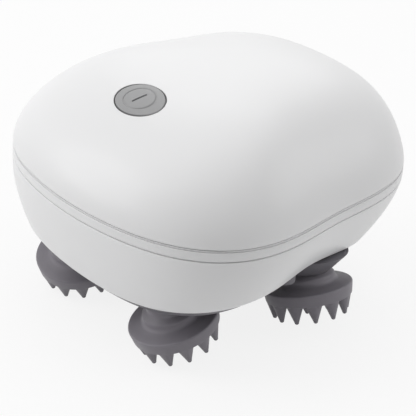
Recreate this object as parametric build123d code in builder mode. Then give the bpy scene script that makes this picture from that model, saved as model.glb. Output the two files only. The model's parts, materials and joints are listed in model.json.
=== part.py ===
# Electric scalp massager: a palm-sized shell with four wobbling massage heads under it.
# The frame: +Z up, +X from the button end to the narrow end, Y = 0 the plane of symmetry.
# The origin is under the middle of the shell, in the plane of the lowest finger tips.
from build123d import *

import os
from math import acos, atan2, cos, degrees, pi, radians, sin, sqrt, tan

os.makedirs("parts", exist_ok=True)

# ---- driving dimensions, in millimetres and degrees --------------------------------------

# plan of the shell: a mean radius and its waves once, twice, ... round the outline
plan_radius = 64.0
egg, oval, corner, square, pinch = 0.12, 0.021, 0.052, -0.037, -0.026
foot_oval, foot_corner, foot_square = 0.012, 0.087, -0.03
plan_points = 32

# upper shell: a blunt dome whose crown leans to the narrow end
dome_height = 32.2
dome_shoulder, dome_bluntness = 1.616, 3.149
crown_shift = 16.5
dome_tip_down = 0.081
shell_wall = 2.2

# trim band, the grooves above and below it, and the lower shell
band_height = 4.1
upper_groove, lower_groove = 0.7, 0.35
groove_depth = 0.8
lip_wall = 0.5
tongue_height, tongue_wall, tongue_gap = 2.5, 1.2, 0.6
lower_depth = 26.2
lower_curve = 1.672
foot_share = 0.883
foot_shift = -2.2
foot_lean, foot_saddle = 0.165, 4.67
arch_radius = 180.0
arch_drop = 22.6
arch_place = 0.2
lower_reach = 10.0  # how far below its mean depth the lower shell is drawn, before the arch cuts it

# base cover
cover_gap = 0.4
cover_wall = 1.8
cover_floor = 2.2
cover_stand_out = 5.4
cover_top = 18.5
cover_reach = 10.5
cover_edge = 2.6

# heads and the wobbling spindles that carry them
gear_centre = 1.65
spindle_angles = (141.3, -141.3, -57.4, 57.4)
wobble = 17.5
lean_angles = (24.0, -25.3, -95.0, 70.0)
pivot_drop = 31.7
pin_radius, shaft_radius = 3.0, 3.0
running = 0.05
rim_distance, rim_height = 8.7, 4.3
rim_radius, rim_foot_radius = 15.65, 15.0
collar_radius, collar_height, collar_round = 9.8, 2.4, 0.9
disc_fall = 1.35
neck_radius, neck_top = 7.5, 2.4
sleeve_radius = 5.2
core_radius, core_thickness, core_cover = 12.0, 1.7, 1.5
finger_length, finger_radius, finger_tip = 6.5, 2.35, 0.8
outer_fingers, outer_ring = 12, 12.55
inner_fingers, inner_ring, inner_length = 6, 7.6, 4.3
recess_radius = 4.0
washer_radius, washer_thickness = 3.7, 0.6
head_screw_radius, head_screw_head, head_screw_length = 1.2, 2.5, 6.5
head_screw_head_height, ledge_depth = 1.6, 1.65
fork_radius, fork_top, fork_thickness = 11.8, 6.2, 1.6
fork_gap, fork_root, fork_tine = 6.3, 6.4, 1.3
fork_pin_radius, fork_pin_circle, fork_pin_low, pin_seat = 1.0, 9.4, 1.3, 1.2
pad_radius, pad_spread, pad_rise, pad_depth = 9.8, 6.0, 8.0, 0.9
pad_thickness, pad_hollow, pad_lobe = 1.3, 9.3, 3.4
seal_bore, seal_wall = 8.5, 0.7

# gear train
sun_teeth, spindle_teeth = 44, 24
wheel_teeth, idler_teeth = 65, 12
idler_wheel_teeth, pinion_teeth = 38, 10
head_module, wheel_module, pinion_module = 1.2, 0.8, 0.6
pressure_angle = 20.0
addendum, dedendum, backlash = 0.75, 1.2, 0.16
lower_deck, upper_deck, deck_thickness = 19.5, 4.5, 2.0
deck_inset, deck_notch = 9.0, 0.5
gear_lift, head_gear_width, wheel_gap, wheel_width, idler_wheel_width = 2.0, 3.5, 0.5, 3.0, 2.8
centre_axle_radius, idler_axle_radius = 2.0, 1.5
bush_wall, bush_flange, bush_flange_thickness = 1.75, 1.0, 0.4
pillar_radius, post_radius, centre_hub = 2.6, 3.2, 8.0
pillar_places = ((-30.0, 0.0), (44.0, 14.0), (44.0, -14.0), (gear_centre, 32.0), (gear_centre, -32.0))
post_places = ((-24.0, 0.0), (40.0, 0.0), (gear_centre, 26.0), (gear_centre, -26.0))
small_screw_radius, small_screw_head, small_screw_head_height = 1.0, 2.0, 1.2
small_screw_length = 6.0
screw_clear, head_clear, head_sunk = 0.1, 0.5, 1.3
drive_width, drive_depth = 0.8, 0.9
shoulder_radius, shoulder_top = 4.2, 10.9
web_radius, web_low, web_thickness = 7.6, 9.2, 2.0
spindle_collar, shaft_short = 4.2, 0.2
finger_sink = 0.3
clearance = 0.3

# motor and cell
motor_radius, motor_height = 10.0, 19.0
motor_boss_radius, motor_boss_height = 3.0, 1.2
motor_shaft_radius = 1.0
motor_screw_circle = 6.5
motor_round, motor_bore = 1.2, 6.0
cell_radius, cell_length = 7.1, 50.0
cell_place = -25.0
cell_nub, cell_round = 1.0, 0.6
cradle_gap = 0.1
cradle_wall, cradle_height = 1.4, 6.5

# button and circuit board
button_rise = 0.833
button_length, button_width = 14.4, 20.0  # an oval: up the slope and across
button_clear, gasket_wall, gasket_sunk = 0.2, 0.35, 0.15
button_proud, button_crown = 0.55, 58.0
button_travel = 0.8
button_depth, button_flange, button_flange_thickness = 4.6, 1.2, 1.0
oval_length, oval_width, oval_groove, oval_depth = 11.0, 13.0, 0.6, 0.35
dash_length, dash_width, dash_depth, dash_turn, dash_sunk = 5.6, 0.9, 0.5, -16.0, 0.15
board_distance, board_thickness = 9.2, 1.6
board_length, board_width, board_screw_length = 24.0, 21.0, 5.0
board_post_x, board_post_y, board_post_radius = 10.0, 8.2, 1.9
switch_size, switch_height, plunger_radius = 6.0, 2.6, 1.6
stem_radius, stem_length, plunger_length = 2.4, 1.0, 2.0

# long case screws, charging socket
screw_places = ((-38.0, 0.0), (51.0, 0.0), (4.0, 44.5), (4.0, -44.5))
case_screw_radius, case_screw_head, case_screw_head_height = 1.45, 2.7, 2.4
case_tube_radius, case_boss_radius = 4.2, 3.6
case_recess_radius, case_recess_top = 3.0, 22.0
ear_top, ear_thickness, ear_radius = 12.0, 4.0, 4.6
case_screw_top, screw_slack, boss_overlap = 5.0, 0.15, 1.0
ear_web = 2.8
socket_drop = 9.5
socket_width, socket_height, socket_length = 9.0, 3.4, 7.4
socket_wall, socket_tongue, socket_round = 0.45, 6.0, 0.1
port_width, port_height, port_flat = 11.0, 5.2, 0.4
plug_proud, plug_tongue, plug_slack = 0.25, 2.0, 0.05
shelf_thickness, shelf_width, shelf_end_gap = 1.5, 14.0, 1.0
lead_radius, lead_bend = 0.65, 1.8
motor_lead_spread, motor_lead_rise, motor_lead_drop = 3.0, 4.0, 3.5
motor_lead_place, cell_lead_place = 6.0, -2.0  # along the board
cell_lead_spread, cell_lead_drop, cell_lead_out, cell_lead_in = 5.0, 3.2, 4.5, 3.0

# ---- places worked out from them ---------------------------------------------------------

low = (Align.CENTER, Align.CENTER, Align.MIN)
high = (Align.CENTER, Align.CENTER, Align.MAX)
tilt = radians(wobble)
rim_foot = rim_distance + rim_height
tip_distance = rim_foot + finger_length
tip_centre = tip_distance - finger_tip
pivot_height = tip_centre * cos(tilt) + outer_ring * sin(tilt) + finger_tip
seam = pivot_height + pivot_drop
middle = plan_radius * (egg + corner + pinch)  # the shell's middle from its plan's centre


def plan_wave(angle, two, three, four):
    return plan_radius * (1 + egg * cos(angle) + two * cos(2 * angle) + three * cos(3 * angle)
                          + four * cos(4 * angle) + pinch * cos(5 * angle))


def round_angles():
    return [2 * pi * k / plan_points for k in range(plan_points)]


def place_x(plan_x):
    return plan_x - middle


gear_x = place_x(gear_centre)
spindle_circle = head_module * (sun_teeth + spindle_teeth) / 2


def on_spokes(radius):
    # places on the four spokes from the centre gear to the spindles
    return [(gear_x + radius * cos(radians(turn)), radius * sin(radians(turn))) for turn in spindle_angles]


spindles = on_spokes(spindle_circle)
guide_pins_at = on_spokes(spindle_circle - fork_pin_circle)
pad_lobes = on_spokes(spindle_circle - pad_lobe)
case_screws = [(place_x(x), y) for x, y in screw_places]
deck_posts = [(place_x(x), y) for x, y in post_places]
pillars = [(place_x(x), y) for x, y in pillar_places]


# ---- outlines of the shell ---------------------------------------------------------------

def dome_spread(rise):
    return (1 - rise ** dome_shoulder) ** (1 / dome_bluntness)


def dome_outline(rise, inset):
    # one round of the dome, on its own tilted plane: rise goes from 0 at the seam to 1
    height = (dome_height - inset) * rise
    slope = -height * dome_tip_down / plan_radius
    stretch = sqrt(1 + slope ** 2)
    plane = Plane(origin=(-middle, 0, seam + height), x_dir=(1, 0, slope), z_dir=(-slope, 0, 1))
    points = []
    for angle in round_angles():
        radius = dome_spread(rise) * plan_wave(angle, oval, corner, square) - inset
        points.append(((radius * cos(angle) + crown_shift * rise ** 2) * stretch, radius * sin(angle)))
    return plane, points


def lower_outline(depth, inset):
    # one level round of the band or the lower shell, at a depth below the seam
    plane = Plane.XY.offset(seam - depth)
    points = []
    for angle in round_angles():
        full = lower_depth - foot_lean * cos(angle) + foot_saddle * cos(2 * angle)
        share = max(0.0, (depth - band_height) / (full - band_height))
        blend = min(share, 1.0)
        upper = plan_wave(angle, oval, corner, square)
        foot = plan_wave(angle, foot_oval, foot_corner, foot_square)
        spread = 1 - (1 - foot_share) * share ** lower_curve
        radius = spread * ((1 - blend) * upper + blend * foot) - inset
        points.append((radius * cos(angle) + foot_shift * blend - middle, radius * sin(angle)))
    return plane, points


def loft_through(outlines):
    with BuildPart(mode=Mode.PRIVATE) as body:
        for plane, points in outlines:
            with BuildSketch(plane):
                with BuildLine():
                    Spline(*points, periodic=True)
                make_face()
        loft()
    return body.part


dome_rises = [0.0] + [(1 - s ** dome_bluntness) ** (1 / dome_shoulder)
                      for s in (0.985, 0.95, 0.88, 0.77, 0.62, 0.45, 0.28, 0.14)]


def dome_solid(inset):
    return loft_through([dome_outline(rise, inset) for rise in dome_rises])


def lower_solid(top, bottom, inset, steps=5):
    depths = [top + (bottom - top) * k / steps for k in range(steps + 1)]
    return loft_through([lower_outline(depth, inset) for depth in depths])


def arch_solid(lift):
    # what lies under the arch that the underside follows, raised by lift
    with BuildPart(mode=Mode.PRIVATE) as under:
        with BuildSketch(Plane.XZ):
            with Locations((place_x(arch_place), seam - arch_drop - arch_radius)):
                Circle(arch_radius + lift)
        extrude(amount=plan_radius * 2, both=True)
    return under.part


def level_ring(depth, height, outer, inner):
    # a band of the outline, standing up from a depth
    with BuildPart(mode=Mode.PRIVATE) as ring:
        for inset, mode in ((outer, Mode.ADD), (inner, Mode.SUBTRACT)):
            plane, points = lower_outline(depth, inset)
            with BuildSketch(plane) as face:
                with BuildLine():
                    Spline(*points, periodic=True)
                make_face()
            extrude(face.sketch, amount=height, mode=mode)
    return ring.part


def finish(build, name):
    build.part.label = name
    export_step(build.part, f"parts/{name}.step")


# ---- the button's own plane --------------------------------------------------------------

def dome_point(rise):
    x = -dome_spread(rise) * plan_wave(pi, oval, corner, square) + crown_shift * rise ** 2
    return Vector(place_x(x), 0, seam + dome_height * rise * (1 - dome_tip_down * x / plan_radius))


button_point = dome_point(button_rise)
button_slope = (dome_point(button_rise + 0.001) - dome_point(button_rise - 0.001)).normalized()
button_normal = Vector(-button_slope.Z, 0, button_slope.X)
button_plane = Plane(origin=button_point, x_dir=button_slope, z_dir=button_normal)


def button_oval(margin, depth, height):
    # an oval column with the button's outline and a margin, standing up from a depth below its plane
    with BuildPart(mode=Mode.PRIVATE) as column:
        with BuildSketch(button_plane.offset(-depth)):
            Ellipse(button_length / 2 + margin, button_width / 2 + margin)
        extrude(amount=height)
    return column.part



# ---- case --------------------------------------------------------------------------------

with BuildPart() as top_shell:
    add(dome_solid(0))
    add(dome_solid(shell_wall), mode=Mode.SUBTRACT)
    add(button_oval(button_clear + gasket_wall, dome_height / 2, dome_height), mode=Mode.SUBTRACT)
    with BuildPart(mode=Mode.PRIVATE) as posts:
        with Locations(button_plane.offset(-board_distance)):
            with GridLocations(2 * board_post_x, 2 * board_post_y, 2, 2):
                Cylinder(board_post_radius, dome_height / 2, align=low)
        with Locations(*[(x, y, seam) for x, y in case_screws]):
            Cylinder(case_boss_radius, dome_height, align=low)
        add(dome_solid(shell_wall / 2), mode=Mode.INTERSECT)
        with Locations(*[(x, y, seam - ear_top) for x, y in case_screws]):
            Cylinder(case_boss_radius, ear_top + boss_overlap, align=low)
    add(posts.part)
    with Locations(*[(x, y, seam - ear_top) for x, y in case_screws]):
        Cylinder(case_screw_radius, ear_top + case_screw_top, align=low, mode=Mode.SUBTRACT)
    with Locations(button_plane.offset(-board_distance)):
        with GridLocations(2 * board_post_x, 2 * board_post_y, 2, 2):
            Cylinder(small_screw_radius, board_screw_length - board_thickness, align=low, mode=Mode.SUBTRACT)
finish(top_shell, "top_shell")

with BuildPart() as trim_band:
    tongue_inset = shell_wall + tongue_gap
    add(level_ring(band_height, band_height - upper_groove, 0, tongue_inset + tongue_wall))
    add(level_ring(upper_groove, upper_groove, groove_depth, tongue_inset + tongue_wall))
    add(level_ring(upper_groove, upper_groove + tongue_height, tongue_inset, tongue_inset + tongue_wall))
finish(trim_band, "trim_band")

port_x = place_x(plan_wave(0, oval, corner, square))  # the narrow end of the outline
port_centre = (port_x, 0, seam - socket_drop)
lower_bottom = lower_depth + lower_reach
shelf_top = seam - socket_drop - socket_height / 2 - board_thickness
socket_face = port_x - shell_wall - plug_tongue
shelf_end = socket_face - socket_length - shelf_end_gap

with BuildPart() as lower_shell:
    add(lower_solid(band_height + lower_groove, lower_bottom, 0))
    add(level_ring(band_height + lower_groove, lower_groove, groove_depth, shell_wall + lip_wall))
    add(lower_solid(0, lower_bottom + shell_wall, shell_wall), mode=Mode.SUBTRACT)
    with BuildPart(mode=Mode.PRIVATE) as inside:
        # ears for the long screws, each on a web from the wall, and the charging socket's shelf
        for x, y in case_screws:
            outward = atan2(y, x + middle)
            reach = plan_radius / 2 if x < port_x / 2 else port_x - x
            with Locations((x, y, seam - ear_top - ear_thickness)):
                Cylinder(ear_radius, ear_thickness, align=low)
            with Locations(Location((x, y, seam - ear_top - ear_thickness), (0, 0, degrees(outward)))):
                Box(reach, ear_radius, ear_web, align=(Align.MIN, Align.CENTER, Align.MIN))
        with Locations((shelf_end, 0, shelf_top)):
            Box(port_x - shelf_end, shelf_width, shelf_thickness, align=(Align.MIN, Align.CENTER, Align.MAX))
        add(lower_solid(band_height + lower_groove, lower_bottom, shell_wall / 2), mode=Mode.INTERSECT)
    add(inside.part)
    with Locations(*[(x, y, seam - ear_top - ear_thickness) for x, y in case_screws]):
        Cylinder(case_screw_radius, ear_thickness, mode=Mode.SUBTRACT, align=low)
    with BuildSketch(Plane(origin=port_centre, x_dir=(0, 1, 0), z_dir=(1, 0, 0))):
        RectangleRounded(port_width, port_height, (port_height - port_flat) / 2)
    extrude(amount=2 * shell_wall, both=True, mode=Mode.SUBTRACT)
    add(arch_solid(0), mode=Mode.SUBTRACT)
finish(lower_shell, "lower_shell")

pivot = pivot_height
pad_bottom = pivot - pad_depth
pad_top = pad_bottom + pad_thickness
seal_radius = seal_bore + seal_wall
cover_inset = shell_wall + cover_gap
cover_low = pivot_drop + cover_reach
deck_low = seam - lower_deck
deck_top = deck_low + deck_thickness
upper_low = seam - upper_deck
upper_top = upper_low + deck_thickness
idler_x = gear_x + wheel_module * (wheel_teeth + idler_teeth) / 2
pinion_x = idler_x - pinion_module * (idler_wheel_teeth + pinion_teeth) / 2
screw_hole = small_screw_radius + screw_clear
tube_top = seam - ear_top - ear_thickness
recess_top = seam - case_recess_top

cover_outer = lower_solid(cover_top, cover_low, cover_inset)
cover_inner = lower_solid(cover_top - 1, cover_low, cover_inset + cover_wall)
cover_arch = arch_solid(-cover_stand_out)

with BuildPart() as base_cover:
    add(cover_outer)
    add(cover_arch, mode=Mode.SUBTRACT)
    under_edges = base_cover.faces().filter_by(GeomType.CYLINDER).sort_by(Axis.Z)[0].edges()
    fillet(under_edges, cover_edge)
    with BuildPart(mode=Mode.PRIVATE) as hollow:
        add(cover_inner)
        add(arch_solid(cover_floor - cover_stand_out), mode=Mode.SUBTRACT)
    add(hollow.part, mode=Mode.SUBTRACT)
    with BuildPart(mode=Mode.PRIVATE) as room:
        # inside the shell, or clear below its rim
        add(cover_outer)
        add(arch_solid(-cover_gap))
    with BuildPart(mode=Mode.PRIVATE) as pads:
        with Locations(*[(x, y, pad_bottom) for x, y in spindles + pad_lobes]):
            Cone(pad_radius, pad_radius + pad_spread, pad_rise, align=low)
        add(room.part, mode=Mode.INTERSECT)
    add(pads.part)
    with BuildPart(mode=Mode.PRIVATE) as supports:
        with Locations(*[(x, y, tube_top) for x, y in case_screws]):
            Cylinder(case_tube_radius, lower_depth, align=high)
        with Locations(*[(x, y, deck_low) for x, y in deck_posts]):
            Cylinder(post_radius, lower_depth, align=high)
        add(cover_arch, mode=Mode.SUBTRACT)
    add(supports.part)
    with BuildPart(mode=Mode.PRIVATE) as wells:
        with Locations(*[(x, y, pad_top) for x, y in spindles + pad_lobes]):
            Cone(pad_hollow, pad_hollow + pad_spread, pad_rise, align=low)
        with BuildPart(mode=Mode.PRIVATE) as within:
            add(cover_inner)
            add(arch_solid(-cover_gap))
        add(within.part, mode=Mode.INTERSECT)
    add(wells.part, mode=Mode.SUBTRACT)
    with Locations(*[(x, y, pad_bottom) for x, y in spindles]):
        Cylinder(seal_radius, pad_rise, mode=Mode.SUBTRACT)
    with Locations(*[(x, y, recess_top) for x, y in case_screws]):
        Cylinder(case_recess_radius, lower_depth, align=high, mode=Mode.SUBTRACT)
        Cylinder(case_screw_radius + screw_slack, lower_depth, align=low, mode=Mode.SUBTRACT)
    with Locations(*[(x, y, deck_low) for x, y in deck_posts]):
        Cylinder(small_screw_radius, small_screw_length - deck_thickness + head_sunk, align=high,
                 mode=Mode.SUBTRACT)
finish(base_cover, "base_cover")

with BuildPart() as neck_seals:
    with Locations(*[(x, y, pad_bottom) for x, y in spindles]):
        Cylinder(seal_radius, pad_thickness, align=low)
        Cylinder(seal_bore, pad_thickness, align=low, mode=Mode.SUBTRACT)
finish(neck_seals, "neck_seals")

with BuildPart() as guide_pins:
    # they hang from the lower deck, one between the tines of each head's fork
    with Locations(*[(x, y, pivot + fork_pin_low) for x, y in guide_pins_at]):
        Cylinder(fork_pin_radius, deck_low + pin_seat - pivot - fork_pin_low, align=low)
    ends = guide_pins.faces().filter_by(Axis.Z).group_by(Axis.Z)[0].edges()
    fillet(ends, fork_pin_radius / 2)
finish(guide_pins, "guide_pins")

with BuildPart() as case_screw_set:
    with Locations(*[(x, y, recess_top) for x, y in case_screws]):
        Cylinder(case_screw_head, case_screw_head_height, align=high)
        Cylinder(case_screw_radius, case_recess_top + case_screw_top, align=low)
    with Locations(*[(x, y, recess_top - case_screw_head_height) for x, y in case_screws]):
        Box(case_screw_head, drive_width, drive_depth, align=low, mode=Mode.SUBTRACT)
        Box(drive_width, case_screw_head, drive_depth, align=low, mode=Mode.SUBTRACT)
finish(case_screw_set, "case_screws")

# ---- decks, pillars, axles and bushes ----------------------------------------------------


def deck_plate(depth):
    # a flat deck inside the shell, its underside at a depth below the seam
    with BuildPart(mode=Mode.PRIVATE) as plate:
        plane, points = lower_outline(depth, deck_inset)
        with BuildSketch(plane) as face:
            with BuildLine():
                Spline(*points, periodic=True)
            make_face()
        extrude(face.sketch, amount=deck_thickness)
        with Locations(*[(x, y, seam - depth) for x, y in case_screws]):
            Cylinder(case_tube_radius + deck_notch, deck_thickness, align=low, mode=Mode.SUBTRACT)
        with Locations(*[(x, y, seam - depth) for x, y in spindles]):
            Cylinder(shaft_radius + bush_wall, deck_thickness, align=low, mode=Mode.SUBTRACT)
        with Locations((gear_x, 0, seam - depth)):
            Cylinder(centre_axle_radius, deck_thickness, align=low, mode=Mode.SUBTRACT)
        with Locations((idler_x, 0, seam - depth)):
            Cylinder(idler_axle_radius, deck_thickness, align=low, mode=Mode.SUBTRACT)
        with Locations(*[(x, y, seam - depth) for x, y in pillars]):
            Cylinder(screw_hole, deck_thickness, align=low, mode=Mode.SUBTRACT)
    return plate.part


with BuildPart() as lower_deck_plate:
    add(deck_plate(lower_deck))
    with Locations(*[(x, y, deck_low) for x, y in deck_posts]):
        Cylinder(screw_hole, deck_thickness, align=low, mode=Mode.SUBTRACT)
    with Locations(*[(x, y, deck_top) for x, y in deck_posts]):
        Cylinder(small_screw_head + head_clear, head_sunk, align=high, mode=Mode.SUBTRACT)
    with Locations(*[(x, y, deck_low) for x, y in guide_pins_at]):
        Cylinder(fork_pin_radius, pin_seat, align=low, mode=Mode.SUBTRACT)
finish(lower_deck_plate, "lower_deck")

cell_x = place_x(cell_place)
cell_z = upper_top + cradle_wall + cell_radius
cradle_inside = cell_radius + cradle_gap
motor_screws_at = [(pinion_x, motor_screw_circle), (pinion_x, -motor_screw_circle)]

with BuildPart() as upper_deck_plate:
    add(deck_plate(upper_deck))
    with Locations((cell_x, 0, upper_top)):
        Box(2 * (cradle_inside + cradle_wall), cell_length + 2 * (cradle_gap + cradle_wall), cradle_height,
            align=low)
    with Locations(Plane(origin=(cell_x, 0, cell_z), x_dir=(1, 0, 0), z_dir=(0, 1, 0))):
        Cylinder(cradle_inside, cell_length + 2 * cradle_gap, mode=Mode.SUBTRACT)
    with Locations(*[(x, y, upper_top) for x, y in pillars]):
        Cylinder(small_screw_head + head_clear, cradle_height, align=low, mode=Mode.SUBTRACT)
    with Locations((pinion_x, 0, upper_low)):
        Cylinder(motor_boss_radius, deck_thickness, align=low, mode=Mode.SUBTRACT)
    with Locations(*[(x, y, upper_low) for x, y in motor_screws_at]):
        Cylinder(screw_hole, deck_thickness, align=low, mode=Mode.SUBTRACT)
finish(upper_deck_plate, "upper_deck")

with BuildPart() as deck_pillars:
    with Locations(*[(x, y, deck_top) for x, y in pillars]):
        Cylinder(pillar_radius, upper_low - deck_top, align=low)
        Cylinder(small_screw_radius, upper_low - deck_top, align=low, mode=Mode.SUBTRACT)
finish(deck_pillars, "deck_pillars")


def small_screw():
    # a pan-head screw standing on its head's seat, its shank downward
    with BuildPart(mode=Mode.PRIVATE) as screw:
        Cylinder(small_screw_head, small_screw_head_height, align=low)
        Cylinder(small_screw_radius, small_screw_length, align=high)
        with Locations((0, 0, small_screw_head_height)):
            Box(small_screw_head, drive_width / 2, drive_depth / 2, align=high, mode=Mode.SUBTRACT)
            Box(drive_width / 2, small_screw_head, drive_depth / 2, align=high, mode=Mode.SUBTRACT)
    return screw.part


screw_shape = small_screw()

with BuildPart() as deck_screws:
    with Locations(*[(x, y, deck_top - head_sunk) for x, y in deck_posts]):
        add(screw_shape)
finish(deck_screws, "deck_screws")

with BuildPart() as pillar_screws:
    with Locations(*[(x, y, upper_top) for x, y in pillars]):
        add(screw_shape)
    with Locations(*[Plane(origin=(x, y, deck_low), z_dir=(0, 0, -1)) for x, y in pillars]):
        add(screw_shape)
finish(pillar_screws, "pillar_screws")

with BuildPart() as centre_axle:
    with Locations((gear_x, 0, deck_low)):
        Cylinder(centre_axle_radius, upper_top - deck_low, align=low)
finish(centre_axle, "centre_axle")

with BuildPart() as idler_axle:
    with Locations((idler_x, 0, deck_low)):
        Cylinder(idler_axle_radius, upper_top - deck_low, align=low)
finish(idler_axle, "idler_axle")

with BuildPart() as spindle_bushes:
    # flanges face the gears, on top of the lower deck and under the upper one
    for x, y in spindles:
        for seat, side in ((deck_top, high), (upper_low, low)):
            flange_side = low if side == high else high
            with Locations((x, y, seat)):
                Cylinder(shaft_radius + bush_wall, deck_thickness, align=side)
                Cylinder(shaft_radius + bush_wall + bush_flange, bush_flange_thickness, align=flange_side)
                Cylinder(shaft_radius + running, deck_thickness * 2, mode=Mode.SUBTRACT)
finish(spindle_bushes, "spindle_bushes")

# ---- gears -------------------------------------------------------------------------------


def involute(angle):
    return tan(angle) - angle


def around(radius, angle):
    return radius * cos(angle), radius * sin(angle)


def gear_face(x, y, depth, module, teeth, turn):
    # the outline of a gear with one tooth at the angle turn, lying at a depth below the seam
    pitch = module * teeth / 2
    base = pitch * cos(radians(pressure_angle))
    tip, root = pitch + addendum * module, pitch - dedendum * module
    start = max(base, root)
    mid = (start + tip) / 2
    half = (pi * module / 2 - backlash) / (2 * pitch) + involute(radians(pressure_angle))
    step = 2 * pi / teeth
    spread = {radius: half - involute(acos(base / radius)) for radius in (start, mid, tip)}
    with BuildSketch(Plane((x, y, seam - depth)), mode=Mode.PRIVATE) as face:
        with BuildLine():
            for tooth in range(teeth):
                angle = turn + tooth * step
                left, right = angle + spread[start], angle - spread[start]
                if root < start:
                    Line(around(root, right), around(start, right))
                    Line(around(start, left), around(root, left))
                ThreePointArc(around(start, right), around(mid, angle - spread[mid]),
                              around(tip, angle - spread[tip]))
                ThreePointArc(around(tip, angle - spread[tip]), around(tip, angle),
                              around(tip, angle + spread[tip]))
                ThreePointArc(around(tip, angle + spread[tip]), around(mid, angle + spread[mid]),
                              around(start, left))
                ThreePointArc(around(root, left), around(root, angle + step / 2),
                              around(root, right + step))
        make_face()
    return face.sketch


def meshing_turn(turn, teeth, direction, other_teeth):
    # the turn of a second gear, which lies in a direction from the first, so that teeth meet gaps
    share = (direction - turn) * teeth / (2 * pi)
    return direction + pi - (2 * pi / other_teeth) * (0.5 - share)


head_gear_low = lower_deck - deck_thickness - gear_lift
head_gear_top = head_gear_low - head_gear_width
wheel_low = head_gear_top - wheel_gap
wheel_top = wheel_low - wheel_width
idler_wheel_low = wheel_top - wheel_gap
idler_wheel_top = idler_wheel_low - idler_wheel_width
gear_hub = gear_lift - bush_flange_thickness - clearance
hub_low = lower_deck - deck_thickness - clearance
hub_top = upper_deck + clearance
idler_turn = meshing_turn(0, wheel_teeth, 0, idler_teeth)
pinion_turn = meshing_turn(0, idler_wheel_teeth, pi, pinion_teeth)

with BuildPart() as centre_gear:
    extrude(gear_face(gear_x, 0, head_gear_low, head_module, sun_teeth, 0), amount=head_gear_width)
    extrude(gear_face(gear_x, 0, wheel_low, wheel_module, wheel_teeth, 0), amount=wheel_width)
    with Locations((gear_x, 0, seam - head_gear_low)):
        Cylinder(centre_hub, head_gear_low - wheel_low, align=low)
    with Locations((gear_x, 0, seam - hub_low)):
        Cylinder(2 * centre_axle_radius, hub_low - hub_top, align=low)
        Cylinder(centre_axle_radius + running, hub_low - hub_top, align=low, mode=Mode.SUBTRACT)
finish(centre_gear, "centre_gear")

with BuildPart() as idler_gear:
    extrude(gear_face(idler_x, 0, wheel_low, wheel_module, idler_teeth, idler_turn),
            amount=wheel_low - idler_wheel_low)
    extrude(gear_face(idler_x, 0, idler_wheel_low, pinion_module, idler_wheel_teeth, 0),
            amount=idler_wheel_width)
    with Locations((idler_x, 0, seam - hub_low)):
        Cylinder(2 * idler_axle_radius, hub_low - hub_top, align=low)
        Cylinder(idler_axle_radius + running, hub_low - hub_top, align=low, mode=Mode.SUBTRACT)
finish(idler_gear, "idler_gear")

with BuildPart() as motor_pinion:
    extrude(gear_face(pinion_x, 0, idler_wheel_low, pinion_module, pinion_teeth, pinion_turn),
            amount=idler_wheel_width)
    with Locations((pinion_x, 0, seam - idler_wheel_low)):
        Cylinder(motor_shaft_radius, idler_wheel_width, align=low, mode=Mode.SUBTRACT)
finish(motor_pinion, "motor_pinion")

# ---- spindles and heads ------------------------------------------------------------------


def head_plane(place):
    # a head's own frame: +Z up its leaning axis, +X to the side that the lean lifts
    x, y = spindles[place]
    lean = radians(lean_angles[place])
    across = (cos(tilt) * cos(lean), cos(tilt) * sin(lean), sin(tilt))
    up = (-sin(tilt) * cos(lean), -sin(tilt) * sin(lean), cos(tilt))
    return Plane(origin=(x, y, pivot), x_dir=across, z_dir=up)


collar_top = rim_distance - disc_fall - collar_height
core_low = rim_foot - core_cover
core_top = core_low - core_thickness
ledge = core_top - ledge_depth
pin_end = ledge + clearance
washer_end = pin_end + washer_thickness
screw_head_end = washer_end + head_screw_head_height


def finger(length):
    # a tapered finger with a round tip, hanging from z = 0
    with BuildPart(mode=Mode.PRIVATE) as shape:
        with BuildSketch(Plane.XZ):
            with BuildLine():
                Polyline((0, finger_sink), (finger_radius, finger_sink), (finger_radius, 0),
                         (finger_tip, finger_tip - length))
                RadiusArc((finger_tip, finger_tip - length), (0, -length), finger_tip)
                Line((0, -length), (0, finger_sink))
            make_face()
        revolve(axis=Axis.Z)
    return shape.part


with BuildPart(mode=Mode.PRIVATE) as skin_shape:
    with BuildSketch(Plane.XZ):
        with BuildLine():
            Polyline((collar_radius - collar_round, -collar_top), (neck_radius, -collar_top),
                     (neck_radius, neck_top), (sleeve_radius, neck_top), (sleeve_radius, -core_top),
                     (core_radius, -core_top), (core_radius, -core_low), (recess_radius, -core_low),
                     (recess_radius, -rim_foot), (rim_foot_radius, -rim_foot), (rim_radius, -rim_distance),
                     (collar_radius, disc_fall - rim_distance), (collar_radius, -collar_top - collar_round))
            TangentArc((collar_radius - collar_round, -collar_top), (collar_radius, -collar_top - collar_round),
                       tangent=(1, 0))
        make_face()
    revolve(axis=Axis.Z)
    with Locations((0, 0, -rim_foot)):
        with PolarLocations(outer_ring, outer_fingers):
            add(finger(finger_length))
        with PolarLocations(inner_ring, inner_fingers, start_angle=180 / outer_fingers):
            add(finger(inner_length))

with BuildPart(mode=Mode.PRIVATE) as hub_shape:
    with Locations((0, 0, fork_top)):
        Cylinder(sleeve_radius, fork_top + core_low, align=high)
    with Locations((0, 0, -core_low)):
        Cylinder(core_radius, core_thickness, align=low)
        Cylinder(recess_radius, core_low - ledge, align=low, mode=Mode.SUBTRACT)
    with Locations((0, 0, fork_top)):
        Cylinder(pin_radius + running, fork_top + core_low, align=high, mode=Mode.SUBTRACT)

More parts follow.
